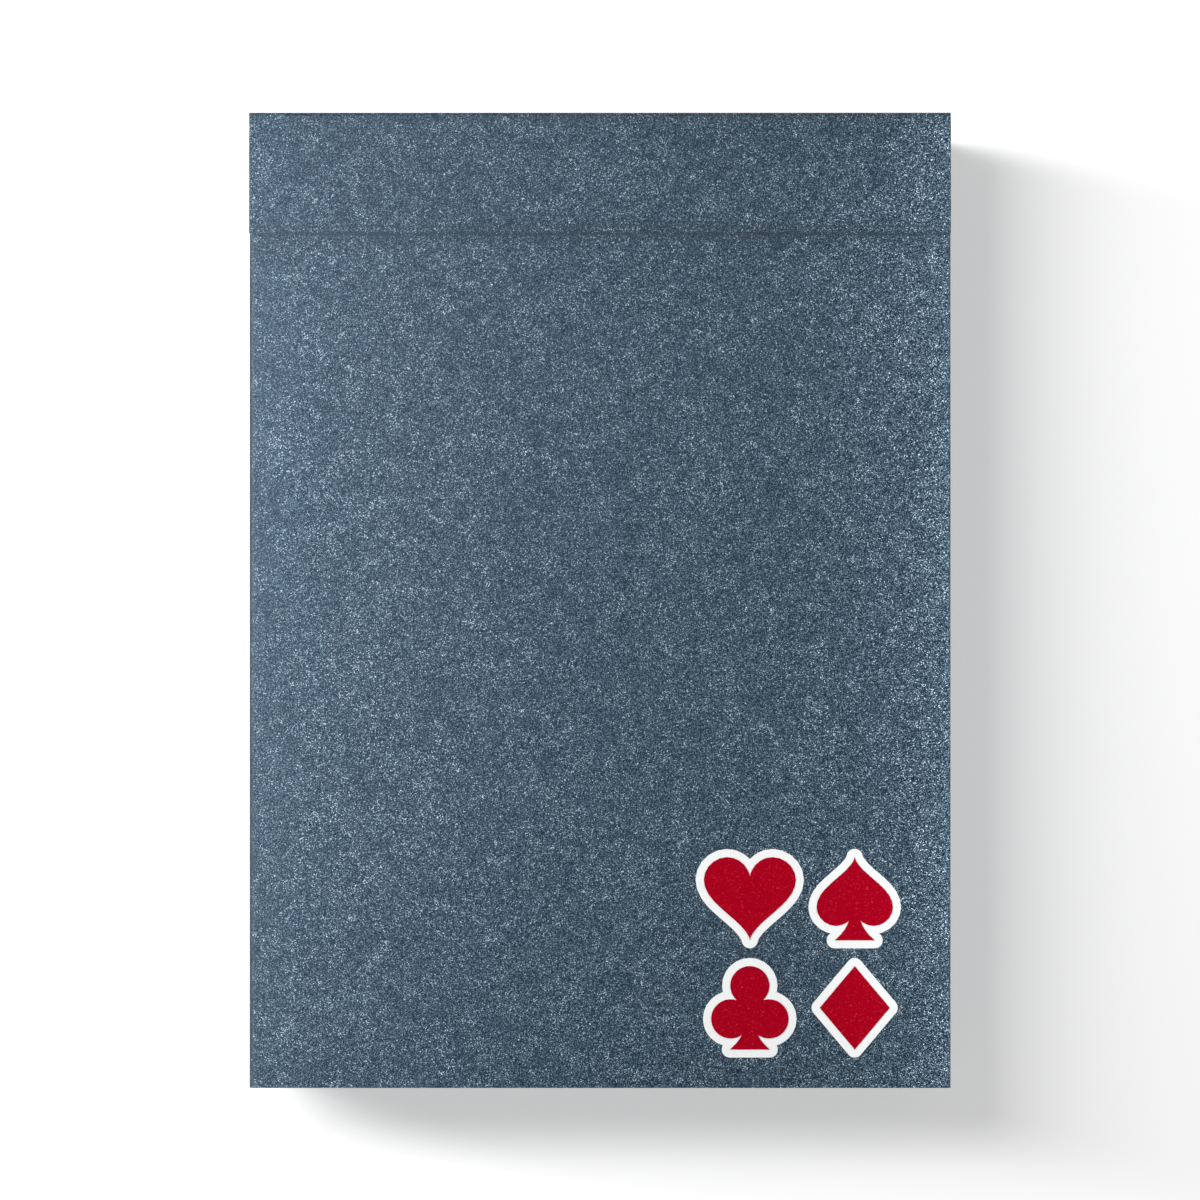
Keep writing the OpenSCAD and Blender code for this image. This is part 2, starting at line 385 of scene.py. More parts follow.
def make_tray():
    """Back panel below the crease, sides, front panel with its notch, glue flap and outer bottom flap."""
    r, right_r = LEFT_FOLD_R, RIGHT_FOLD_R
    front_end = HALF_W - BOARD_T - FLAP_GAP
    right = straight((HALF_W, 0), (HALF_W, BOX_D - right_r), (1, 0), SIDE_STEPS)
    right_fold = arc((HALF_W - right_r, BOX_D - right_r), right_r, 0, 90)
    back = straight((HALF_W - right_r, BOX_D), (r - HALF_W, BOX_D), (0, 1), PANEL_STEPS)[1:]
    left_fold = arc((r - HALF_W, BOX_D - r), r, 90, 180)
    left = straight((-HALF_W, BOX_D - r), (-HALF_W, r), (-1, 0), SIDE_STEPS)[1:]
    low_fold = arc((r - HALF_W, r), r, 180, 270)
    notch_turns = spread(-math.pi / 2, math.pi / 2, NOTCH_STEPS)
    notch = [((NOTCH_R * math.sin(a), 0), (0, -1)) for a in notch_turns]
    front = straight((r - HALF_W, 0), (-NOTCH_R, 0), (0, -1), SIDE_STEPS)[1:] + notch
    front += straight((NOTCH_R, 0), (front_end - r, 0), (0, -1), SIDE_STEPS)[1:]
    glue_fold = arc((front_end - r, r), r, 270, 360)
    glue = straight((front_end, r), (front_end, BOX_D - 2 * BOARD_T), (1, 0), FLAP_STEPS)[1:]
    section = right + right_fold + back + left_fold + left + low_fold + front + glue_fold + glue
    groups = (("right", right), ("right_fold", right_fold[:-1]), ("back", [right_fold[-1]] + back),
              ("left_fold", left_fold[:-1]), ("left", [left_fold[-1]] + left), ("low_fold", low_fold[:-1]),
              ("front", [low_fold[-1]] + front), ("glue", glue_fold + glue))
    kinds = [kind for kind, points in groups for _ in points]

    flap_top = BOX_D - BOARD_T - FLAP_GAP
    flap_path = straight((Y_BOTTOM, flap_top), (Y_BOTTOM, r), (-1, 0), END_STEPS)
    flap_path += arc((Y_BOTTOM + r, r), r, 180, 270)[:-1]
    body_ys = [Y_BOTTOM] + spread(Y_BOTTOM + GLUE_INSET, PANEL_SEAM_Y, LENGTH_STEPS)
    body_ys += [CREASE_Y, SIDE_TOP - GLUE_INSET, SIDE_TOP]
    front_shares = (0.25, 0.5, 0.75, 1.0)
    rows = [("flap", point) for point in flap_path] + [("body", y) for y in body_ys]
    rows += [("top", share) for share in front_shares]

    def place(row, column):
        (x, z), (nx, nz) = section[column]
        stage, where = row
        if stage == "flap":
            (y, z), (ny, nz) = where
            return Vector((x, y, z)), Vector((0, ny, nz))
        if stage == "body":
            y = where
            if y == Y_BOTTOM and kinds[column] in ("low_fold", "front"):
                y += r * max(-nz, 0)
        else:
            end = FRONT_TOP - math.sqrt(max(NOTCH_R ** 2 - x ** 2, 0))
            y = SIDE_TOP + (end - SIDE_TOP) * where
        return Vector((x, y, z)), Vector((nx, 0, nz))

    first_body = len(flap_path)
    first_top = first_body + len(body_ys)
    row_y = [Y_BOTTOM] * first_body + body_ys + [FRONT_TOP] * len(front_shares)

    def present(r_index, c):
        kind = kinds[c]
        y = (row_y[r_index] + row_y[r_index + 1]) / 2
        if r_index < first_body or r_index >= first_top - 1:
            return kind == "front"
        if kind == "back":
            return y < PANEL_SEAM_Y
        if kind in ("left_fold", "right_fold"):
            return y < CREASE_Y
        if kind == "glue":
            return Y_BOTTOM + GLUE_INSET < y < SIDE_TOP - GLUE_INSET
        return True

    piece = board_piece("carton_tray", rows, range(len(section)), place, present)
    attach(piece, "carton")
    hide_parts("carton")


def make_crease_sheet():
    """The back panel on both sides of the crease, which folds where it is scored."""
    fine = spread(CREASE_Y - SCORED_REACH, CREASE_Y + SCORED_REACH, CREASE_STEPS)
    rows = [PANEL_SEAM_Y, CREASE_Y - 2 * SCORED_REACH] + fine + [CREASE_Y + 2 * SCORED_REACH, STRIP_SEAM_Y]
    columns = [-HALF_W] + spread(LEFT_FOLD_R - HALF_W, HALF_W - RIGHT_FOLD_R, PANEL_STEPS) + [HALF_W]

    def place(y, x):
        return Vector((x, y, BOX_D - score_depth(y))), Vector((0, 0, 1))

    def present(r, c):
        return 0 < c < len(columns) - 2 or rows[r] >= CREASE_Y

    piece = board_piece("crease_sheet", rows, columns, place, present)
    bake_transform(piece)
    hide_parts("lid_strip")


def corner_inset(distance, radius):
    """How far a rounded corner draws in a sheet's side, at a distance from the sheet's end."""
    if distance >= radius:
        return 0.0
    return radius - math.sqrt(max(radius ** 2 - (radius - distance) ** 2, 0))


def make_lid_sheet():
    """From the strip over the top fold and down the lid's end."""
    r = LID_FOLD_R
    path = straight((STRIP_SEAM_Y, BOX_D), (Y_LID - r, BOX_D), (0, 1), PANEL_STEPS)
    path += arc((Y_LID - r, BOX_D - r), r, 90, 0)
    path += straight((Y_LID, BOX_D - r), (Y_LID, LID_SEAM_Z), (1, 0), END_STEPS)[1:]
    path.append(((Y_LID, LID_SEAM_Z), (1, 0)))

    def place(row, share):
        (y, z), (ny, nz) = row
        narrowed = smoothstep(r, 2 * r, BOX_D - z)
        half = HALF_W + (LID_HALF_W - HALF_W) * narrowed
        return Vector((share * half, y, z)), Vector((0, ny, nz))

    piece = board_piece("lid_sheet", path, spread(-1, 1, PANEL_STEPS), place)
    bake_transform(piece)
    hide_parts("lid_top")


def make_tuck_sheet():
    """From the lid's end round the lower fold and along the tuck flap."""
    r = TUCK_FOLD_R
    z = tuck_low.z
    end = tuck_low.y
    path = straight((Y_LID, LID_SEAM_Z), (Y_LID, z + r), (1, 0), END_STEPS)
    path += arc((Y_LID - r, z + r), r, 0, -90)
    path += straight((Y_LID - r, z), (end + TUCK_CORNER, z), (0, -1), END_STEPS)[1:]
    corner_turns = spread(0, math.pi / 2, TUCK_CORNER_STEPS)
    path += [((end + TUCK_CORNER * (1 - math.sin(a)), z), (0, -1)) for a in corner_turns]

    def place(row, share):
        (y, z), (ny, nz) = row
        half = LID_HALF_W + (TUCK_HALF_W - LID_HALF_W) * max(-nz, 0)
        half -= corner_inset(y - end, TUCK_CORNER)
        return Vector((share * half, y, z)), Vector((0, ny, nz))

    piece = board_piece("tuck_sheet", path, spread(-1, 1, PANEL_STEPS), place)
    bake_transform(piece)
    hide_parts("tuck_flap")


def make_dust_sheet(side, body):
    """A flap at the top of a side panel. side is -1 for the left one and 1 for the right one."""
    r = DUST_FOLD_R
    top = dust_high.y
    root = dust_low.z, dust_high.z
    tip = dust_low.z + DUST_FRONT_TAPER, BOX_D - DUST_TIP_BACK
    reach = dust_high.x + HALF_W
    path = arc((r, SIDE_TOP), r, 180, 90)
    path += straight((r, top), (reach - DUST_CORNER, top), (0, 1), END_STEPS)[1:]
    corner_turns = spread(0, math.pi / 2, DUST_CORNER_STEPS)
    path += [((reach - DUST_CORNER * (1 - math.sin(a)), top), (0, 1)) for a in corner_turns]

    def place(row, share):
        (x, y), (nx, ny) = row
        along = max(x - r, 0) / (reach - r)
        inset = corner_inset(reach - x, DUST_CORNER)
        low = root[0] + (tip[0] - root[0]) * along + inset
        high = root[1] + (tip[1] - root[1]) * along - inset
        return Vector((side * (HALF_W - x), y, low + (high - low) * share)), Vector((-side * nx, ny, 0))

    piece = board_piece(body + "_sheet", path, spread(0, 1, END_STEPS), place)
    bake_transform(piece)
    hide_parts(body)


def make_bottom_flap(name, y, low, high, taper):
    """A flap glued behind the outer bottom flap, between two corners (x, z), drawn in at its free edge.
    taper gives each corner's move: the low one, the one high in x, the high one and the one high in z."""
    def place(v, u):
        def across(a, b, c, d):
            return (a * (1 - u) + b * u) * (1 - v) + (d * (1 - u) + c * u) * v
        x = low[0] + (high[0] - low[0]) * u + across(*[corner[0] for corner in taper])
        z = low[1] + (high[1] - low[1]) * v + across(*[corner[1] for corner in taper])
        return Vector((x, y, z)), Vector((0, -1, 0))

    piece = board_piece(name, spread(0, 1, FLAP_STEPS), spread(0, 1, FLAP_STEPS), place)
    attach(piece, "carton")


def make_bottom_flaps():
    """The inner flap, which hangs from the back panel, and the two dust flaps behind it."""
    half = HALF_W - BOARD_T - FLAP_GAP
    low, high = BOARD_T + FLAP_GAP, BOX_D - BOARD_T - FLAP_GAP
    t, still = BOTTOM_TAPER, (0, 0)
    inner_low = high - BOTTOM_INNER_REACH
    make_bottom_flap("bottom_inner_flap", Y_BOTTOM + BOARD_T, (-half, inner_low), (half, high),
                     ((t, 0), (-t, 0), still, still))
    reach = BOTTOM_DUST_REACH
    make_bottom_flap("left_bottom_dust_flap", Y_BOTTOM + 2 * BOARD_T, (-half, low), (reach - half, high),
                     (still, (0, t), (0, -t), still))
    half -= BOARD_T + FLAP_GAP
    make_bottom_flap("right_bottom_dust_flap", Y_BOTTOM + 2 * BOARD_T, (half - reach, low), (half, high),
                     ((0, t), still, still, (0, -t)))


make_tray()
make_bottom_flaps()
make_crease_sheet()
make_lid_sheet()
make_tuck_sheet()
make_dust_sheet(-1, "left_dust_flap")
make_dust_sheet(1, "right_dust_flap")


# The emblem keeps its solid, which has a white ground and red pips that stand higher

RED_SHARE = 0.6
EMBLEM_FLECK = 0.15 * MM


def make_emblem_ink():
    """Red and white print with faint flecks. It is red above a share of the emblem's height."""
    material, tree, shader = new_material("emblem_ink")
    low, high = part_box("emblem")
    place = add_node(tree, "ShaderNodeTexCoord").outputs["Object"]
    height = add_node(tree, "ShaderNodeSeparateXYZ", {"Vector": place}).outputs["Z"]
    is_red = math_node(tree, "GREATER_THAN", height, low.z + RED_SHARE * (high.z - low.z))
    fleck = noise_node(tree, place, EMBLEM_FLECK, 2)
    red = ramp_node(tree, fleck, ((0.3, linear(152, 0, 24)), (0.62, linear(164, 0, 29)),
                                  (0.72, linear(186, 44, 40))))
    white = ramp_node(tree, fleck, ((0.3, linear(230, 229, 228)), (0.7, linear(239, 238, 237))))
    colour = mix_colours(tree, is_red, white, red)
    tree.links.new(colour, shader.inputs["Base Color"])
    shader.inputs["Roughness"].default_value = 0.5
    shader.inputs["Specular IOR Level"].default_value = 0.02
    return material


def set_material(name, material):
    data = frame["nodes"][name].data
    data.materials.clear()
    data.materials.append(material)


set_material("emblem", make_emblem_ink())


# The cards

CARD_CHAMFER = 0.03 * MM
CARD_CORNER = 3.2 * MM
CORNER_STEPS = 8
STOCK, RED_INK, BLACK_INK, BACK_PRINT = range(4)

# Sizes and places of the print, in millimetres from the card's middle
INDEX_PLACE = (-27.6, 38.2)
INDEX_PIP_PLACE = (-27.6, 31.9)
INDEX_HEIGHT = 5.4
INDEX_WIDTH = 3.2
INDEX_STROKE = 0.42
INDEX_PIP = 4.2
PIP_SIZE = 11.0
ACE_SIZE = 18.0
SPADE_ACE_SIZE = 27.0
PIP_COLUMN = 14.0
PIP_ROW = 31.0
COURT_FRAME = (22, 34)
COURT_FRAME_STROKE = 0.3
COURT_PIP = 13
COURT_PIP_Y = 7.5
COURT_CORNER_PIP = 7
COURT_CORNER_PLACE = (-16.5, 28)
CROWN_FOOT_Y = 16
CROWN_HALF_W = 9
CROWN_SIDE = 9
CROWN_DIP = 4
CROWN_TIP = 10
JOKER_STAR = 30
JOKER_PIP = 9
JOKER_PIP_Y = 27

COURT_SPIKES = {"jack": 2, "queen": 3, "king": 5}
STROKE_RUN_ON = 0.6


def bow(centre, radius, start_deg, end_deg, steps=10):
    """Points of an elliptic arc, for the round strokes of an index."""
    turns = [math.radians(a) for a in spread(start_deg, end_deg, steps)]
    return [(centre[0] + radius[0] * math.cos(t), centre[1] + radius[1] * math.sin(t)) for t in turns]


SIX = [bow((0.5, 0.3), (0.46, 0.3), 0, 360, 14), bow((0.86, 0.3), (0.82, 0.7), 102, 180, 8)]

# Strokes of each index, in a box of 1 by 1
STROKES = {
    "ace": [[(0, 0), (0.5, 1), (1, 0)], [(0.19, 0.36), (0.81, 0.36)]],
    "two": [bow((0.5, 0.72), (0.46, 0.28), 170, -35) + [(0.0, 0.0), (1, 0)]],
    "three": [bow((0.46, 0.77), (0.42, 0.23), 160, -90), bow((0.46, 0.27), (0.5, 0.27), 90, -160)],
    "four": [[(0.74, 0), (0.74, 1), (0, 0.3), (1, 0.3)]],
    "five": [[(0.92, 1), (0.16, 1), (0.1, 0.52)] + bow((0.46, 0.31), (0.5, 0.31), 135, -150)],
    "six": SIX,
    "seven": [[(0, 1), (1, 1), (0.36, 0)]],
    "eight": [bow((0.5, 0.76), (0.4, 0.24), 0, 360, 12), bow((0.5, 0.26), (0.48, 0.26), 0, 360, 12)],
    "nine": [[(1 - x, 1 - y) for x, y in line] for line in SIX],
    "ten": [[(0.02, 0), (0.02, 1)], bow((0.66, 0.5), (0.32, 0.5), 0, 360, 16)],
    "jack": [[(0.8, 1)] + bow((0.44, 0.28), (0.36, 0.28), 0, -170)],
    "queen": [bow((0.5, 0.52), (0.5, 0.48), 0, 360, 16), [(0.58, 0.26), (1, -0.04)]],
    "king": [[(0, 0), (0, 1)], [(0.95, 1), (0, 0.36)], [(0.3, 0.56), (1, 0)]],
}

# Places of the pips: column from -1 to 1 and row from -1 to 1
CORNERS = [(x, y) for x in (-1, 1) for y in (-1, 1)]
EIGHT_SIDES = CORNERS + [(x, y / 3) for x in (-1, 1) for y in (-1, 1)]
PIP_PLACES = {
    "two": [(0, 1), (0, -1)],
    "three": [(0, 1), (0, 0), (0, -1)],
    "four": CORNERS,
    "five": CORNERS + [(0, 0)],
    "six": CORNERS + [(-1, 0), (1, 0)],
    "seven": CORNERS + [(-1, 0), (1, 0), (0, 0.5)],
    "eight": CORNERS + [(-1, 0), (1, 0), (0, 0.5), (0, -0.5)],
    "nine": EIGHT_SIDES + [(0, 0)],
    "ten": EIGHT_SIDES + [(0, 2 / 3), (0, -2 / 3)],
}


# Shares of a pip's height. The heart curve is 29 units high, with its middle 2.5 below its own origin
HEART_HEIGHT = 29
HEART_MIDDLE = -2.5
HEART_POINTS = 32
STEM_NECK = 0.04
STEM_FLARE = 0.2
SPADE_LEAF = 0.83
SPADE_LEAF_Y = 0.085
CLUB_LEAF_PLACE = 0.265
CLUB_LEAF_R = 0.235
CLUB_MIDDLE_R = 0.12


def heart():
    """The usual heart curve in a height of 1, around its middle."""
    points = []
    for i in range(HEART_POINTS):
        a = 2 * math.pi * i / HEART_POINTS
        y = 13 * math.cos(a) - 5 * math.cos(2 * a) - 2 * math.cos(3 * a) - math.cos(4 * a)
        points.append((16 * math.sin(a) ** 3 / HEART_HEIGHT, (y - HEART_MIDDLE) / HEART_HEIGHT))
    return points


def stem():
    """A stem that flares down from the middle of a pip."""
    right = [(STEM_NECK + STEM_FLARE * t ** 3, -0.5 * t) for t in spread(0, 1, 6)]
    return right + [(-x, y) for x, y in reversed(right)]


def ring(centre, radius, count=20):
    """A circle's points."""
    return bow(centre, (radius, radius), 0, 360 * (count - 1) / count, count - 1)


def club():
    """Three leaves round a small middle, on a stem."""
    leaves = []
    for turn in [math.radians(a) for a in (90, 210, 330)]:
        leaves.append(ring((CLUB_LEAF_PLACE * math.cos(turn), CLUB_LEAF_PLACE * math.sin(turn)), CLUB_LEAF_R))
    return leaves + [ring((0, 0), CLUB_MIDDLE_R, 8), stem()]


def spade():
    """A heart upside down, on a stem."""
    leaf = [(-SPADE_LEAF * x, SPADE_LEAF_Y - SPADE_LEAF * y) for x, y in heart()]
    return [leaf, stem()]


def star(points, inner):
    """A star of height 1, point up."""
    outline = []
    for i in range(2 * points):
        radius = 0.5 if i % 2 == 0 else 0.5 * inner
        angle = math.pi / 2 + math.pi * i / points
        outline.append((radius * math.cos(angle), radius * math.sin(angle)))
    return outline


# Each pip is a few outlines in a height of 1
PIPS = {
    "hearts": [heart()],
    "diamonds": [[(0, 0.5), (0.4, 0), (0, -0.5), (-0.4, 0)]],
    "spades": spade(),
    "clubs": club(),
    "jokers": [star(5, 0.45)],
}


def placed(outlines, size, place, flip=False):
    """Outlines scaled to a size and set at a place of the card, upside down if flip is true."""
    turn = -1 if flip else 1
    return [[(place[0] + turn * size * x, place[1] + turn * size * y) for x, y in line] for line in outlines]


def stroked(lines, half):
    """Each straight stretch of the lines as a thin rectangle, run on a little so that neighbours join."""
    outlines = []
    for line in lines:
        for (x0, y0), (x1, y1) in zip(line, line[1:]):
            length = math.hypot(x1 - x0, y1 - y0)
            dx, dy = (x1 - x0) / length * half, (y1 - y0) / length * half
            ax, ay = x0 - dx * STROKE_RUN_ON, y0 - dy * STROKE_RUN_ON
            bx, by = x1 + dx * STROKE_RUN_ON, y1 + dy * STROKE_RUN_ON
            outlines.append([(ax - dy, ay + dx), (ax + dy, ay - dx), (bx + dy, by - dx), (bx - dy, by + dx)])
    return outlines


def twice(outlines):
    """The outlines and their copy at the card's other end."""
    return outlines + [[(-x, -y) for x, y in line] for line in outlines]


def index_print(rank, suit):
    """The rank and the suit in two opposite corners."""
    strokes = [[(INDEX_PLACE[0] + INDEX_WIDTH * (x - 0.5), INDEX_PLACE[1] + INDEX_HEIGHT * (y - 0.5))
                for x, y in line] for line in STROKES.get(rank, [])]
    return twice(stroked(strokes, INDEX_STROKE) + placed(PIPS[suit], INDEX_PIP, INDEX_PIP_PLACE))


def crown(spikes):
    """A plain crown with its foot at the origin."""
    outline = [(-CROWN_HALF_W, 0)]
    for i in range(spikes):
        dip_x, tip_x = [-CROWN_HALF_W + 2 * CROWN_HALF_W * part / spikes for part in (i, i + 0.5)]
        outline += [(dip_x, CROWN_SIDE if i == 0 else CROWN_DIP), (tip_x, CROWN_TIP)]
    return [outline + [(CROWN_HALF_W, CROWN_SIDE), (CROWN_HALF_W, 0)]]


def court_print(rank, suit):
    """A frame, and a crown over a pip, the same at both ends."""
    x, y = COURT_FRAME
    frame_line = stroked([[(-x, y), (x, y)], [(x, -y), (x, y)]], COURT_FRAME_STROKE)
    figure = placed(crown(COURT_SPIKES[rank]), 1, (0, CROWN_FOOT_Y))
    figure += placed(PIPS[suit], COURT_PIP, (0, COURT_PIP_Y))
    return twice(frame_line + figure + placed(PIPS[suit], COURT_CORNER_PIP, COURT_CORNER_PLACE))


def face_print(rank, suit):
    """Outlines of everything that is printed on a card's face, in millimetres from its middle."""
    outlines = index_print(rank, suit)
    if suit == "jokers":
        small_stars = twice(placed(PIPS[suit], JOKER_PIP, (0, JOKER_PIP_Y)))
        return outlines + placed([star(8, 0.6)], JOKER_STAR, (0, 0)) + small_stars
    if rank in COURT_SPIKES:
        return outlines + court_print(rank, suit)
    if rank == "ace":
        size = SPADE_ACE_SIZE if suit == "spades" else ACE_SIZE
        return outlines + placed(PIPS[suit], size, (0, 0))
    for column, row in PIP_PLACES[rank]:
        outlines += placed(PIPS[suit], PIP_SIZE, (column * PIP_COLUMN, row * PIP_ROW), row < 0)
    return outlines


def card_outline(half_w, half_l, inset):
    """The card's rounded rectangle, drawn in by an inset, anticlockwise."""
    r = CARD_CORNER - inset
    points = []
    for turn, (sx, sy) in enumerate(((1, 1), (-1, 1), (-1, -1), (1, -1))):
        centre = (sx * (half_w - inset - r), sy * (half_l - inset - r))
        points += [point for point, _ in arc(centre, r, 90 * turn, 90 * turn + 90, CORNER_STEPS)]
    return points


def anticlockwise(line):
    """The outline's points in anticlockwise order, which the cutting of the face needs."""
    area = sum(x0 * y1 - x1 * y0 for (x0, y0), (x1, y1) in zip(line, line[1:] + line[:1]))
    return line if area > 0 else line[::-1]


# The cutting keeps what lies inside the outlines, and joins points that are nearer than the tolerance in mm
CUT_INSIDE = 1
CUT_TOLERANCE = 1e-4


def add_card(mesh, low, high, prints, ink):
    """One card between two corners: a flat face cut along its print, a back, and a rim with pressed edges."""
    middle = (low + high) / 2
    half_w, half_l = (high.x - low.x) / 2, (high.y - low.y) / 2
    inner = card_outline(half_w, half_l, CARD_CHAMFER)
    outer = card_outline(half_w, half_l, 0)
    levels = ((inner, low.z), (outer, low.z + CARD_CHAMFER), (outer, high.z - CARD_CHAMFER), (inner, high.z))
    rings = [[mesh.verts.new((middle.x + x, middle.y + y, z)) for x, y in line] for line, z in levels]
    count = len(inner)
    for below, above in zip(rings, rings[1:]):
        for i in range(count):
            j = (i + 1) % count
            mesh.faces.new((below[i], below[j], above[j], above[i])).material_index = STOCK
    mesh.faces.new(reversed(rings[0])).material_index = BACK_PRINT

    points, loops = [], []
    for line in [[(x / MM, y / MM) for x, y in inner]] + [anticlockwise(line) for line in prints]:
        loops.append(list(range(len(points), len(points) + len(line))))
        points += [Vector(p) for p in line]
    cut = delaunay_2d_cdt(points, [], loops, CUT_INSIDE, CUT_TOLERANCE)
    cut_points, _, cut_faces, from_points, _, from_faces = cut
    top = []
    for point, sources in zip(cut_points, from_points):
        edge = [i for i in sources if i < count]
        here = (middle.x + point.x * MM, middle.y + point.y * MM, high.z)
        top.append(rings[-1][edge[0]] if edge else mesh.verts.new(here))
    for corners, sources in zip(cut_faces, from_faces):
        face = mesh.faces.new([top[i] for i in corners])
        face.material_index = ink if any(source > 0 for source in sources) else STOCK


CARD_WHITE = ((0.3, linear(214, 212, 205)), (0.7, linear(226, 225, 220)))
CARD_FIBRE = 0.4 * MM
INK_COVER = 0.2 * MM
LINEN_PITCH = 0.5 * MM


def make_card_stock():
    """Coated white card, pressed with a fine linen pattern."""
    material, tree, shader = new_material("card_stock")
    place = add_node(tree, "ShaderNodeTexCoord").outputs["Object"]
    colour = ramp_node(tree, noise_node(tree, place, CARD_FIBRE, 3), CARD_WHITE)
    tree.links.new(colour, shader.inputs["Base Color"])
    tree.links.new(linen_bump(tree, place), shader.inputs["Normal"])
    shader.inputs["Roughness"].default_value = 0.5
    return material


def linen_bump(tree, place):
    """The air-cushion finish: rows of tiny dimples."""
    axes = add_node(tree, "ShaderNodeSeparateXYZ", {"Vector": place})
    turns = [math_node(tree, "MULTIPLY", axes.outputs[axis], 2 * math.pi / LINEN_PITCH) for axis in "XY"]
    waves = [math_node(tree, "SINE", turn) for turn in turns]
    height = math_node(tree, "MULTIPLY", *waves)
    bump = add_node(tree, "ShaderNodeBump", {"Height": height, "Strength": 0.15, "Distance": 0.01 * MM})
    return bump.outputs["Normal"]


def ink_node(tree, cover, dark, light):
    """The colour of ink that is darker where more of it lies."""
    return ramp_node(tree, cover, ((0.35, dark), (0.75, light)))


def make_card_ink(name, dark, light):
    """Print on the card, a little uneven where the dimples took less ink."""
    material, tree, shader = new_material(name)
    place = add_node(tree, "ShaderNodeTexCoord").outputs["Object"]
    cover = noise_node(tree, place, INK_COVER, 2)
    tree.links.new(ink_node(tree, cover, dark, light), shader.inputs["Base Color"])
    tree.links.new(linen_bump(tree, place), shader.inputs["Normal"])
    shader.inputs["Roughness"].default_value = 0.45
    return material


# The back's lattice, with its line and its dot as shares of the pitch
LATTICE_PITCH = 3.2 * MM
LATTICE_LINE = 0.09
LATTICE_DOT = 0.36
BACK_BORDER = 4 * MM


def make_card_back(low, high):
    """A lattice of slanted squares with a dot in each, inside a plain white border."""
    material, tree, shader = new_material("card_back")
    place = add_node(tree, "ShaderNodeTexCoord").outputs["Object"]
    centred = vector_node(tree, "SUBTRACT", {0: place, 1: (low + high) / 2})
    axes = add_node(tree, "ShaderNodeSeparateXYZ", {"Vector": centred})
    x, y = axes.outputs["X"], axes.outputs["Y"]
    folded = []
    for operation in ("ADD", "SUBTRACT"):
        slant = math_node(tree, "DIVIDE", math_node(tree, operation, x, y), LATTICE_PITCH)
        folded.append(math_node(tree, "PINGPONG", slant, 0.5))
    on_line = math_node(tree, "LESS_THAN", math_node(tree, "MINIMUM", *folded), LATTICE_LINE)
    on_dot = math_node(tree, "GREATER_THAN", math_node(tree, "MINIMUM", *folded), LATTICE_DOT)
    clear = math_node(tree, "MAXIMUM", on_line, on_dot)
    for axis, half in ((x, (high.x - low.x) / 2), (y, (high.y - low.y) / 2)):
        off = math_node(tree, "GREATER_THAN", math_node(tree, "ABSOLUTE", axis), half - BACK_BORDER)
        clear = math_node(tree, "MAXIMUM", clear, off)
    cover = noise_node(tree, place, INK_COVER, 2)
    ink = ink_node(tree, cover, linear(46, 66, 88), linear(70, 92, 116))
    colour = mix_colours(tree, clear, ink, ramp_node(tree, cover, CARD_WHITE))
    tree.links.new(colour, shader.inputs["Base Color"])
    tree.links.new(linen_bump(tree, place), shader.inputs["Normal"])
    shader.inputs["Roughness"].default_value = 0.45
    return material


def make_cards():
    """One piece for each card node, face up, with the two jokers in one piece."""
    low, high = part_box("ace_of_spades")
    thick = high.z - low.z
    materials = (make_card_stock(),
                 make_card_ink("red_ink", linear(168, 12, 26), linear(186, 30, 40)),
                 make_card_ink("black_ink", linear(20, 20, 22), linear(38, 38, 42)),
                 make_card_back(low, high))
    pieces = []
    for node in [n for n in frame["nodes"] if n == "jokers" or "_of_" in n]:
        low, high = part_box(node)
        mesh = bmesh.new()
        if node == "jokers":
            prints = face_print("", "jokers")
            add_card(mesh, low, Vector((high.x, high.y, low.z + thick)), prints, BLACK_INK)
            add_card(mesh, Vector((low.x, low.y, high.z - thick)), high, prints, RED_INK)
        else:
            rank, suit = node.split("_of_")
            ink = RED_INK if suit in ("hearts", "diamonds") else BLACK_INK
            add_card(mesh, low, high, face_print(rank, suit), ink)
        piece = finish_mesh(node + "_card", mesh)
        for material in materials:
            piece.data.materials.append(material)
        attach(piece, node)
        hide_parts(node)
        pieces.append(piece)
    return pieces


cards = make_cards()


# Floor, light and camera

# The floor's own brightness, and the distances from the middle between which it turns to plain white
FLOOR_ALBEDO = 0.95
FLOOR_GLOW = 0.455
FLOOR_HALF = 1.5
FADE_START = 0.07
FADE_END = 0.16


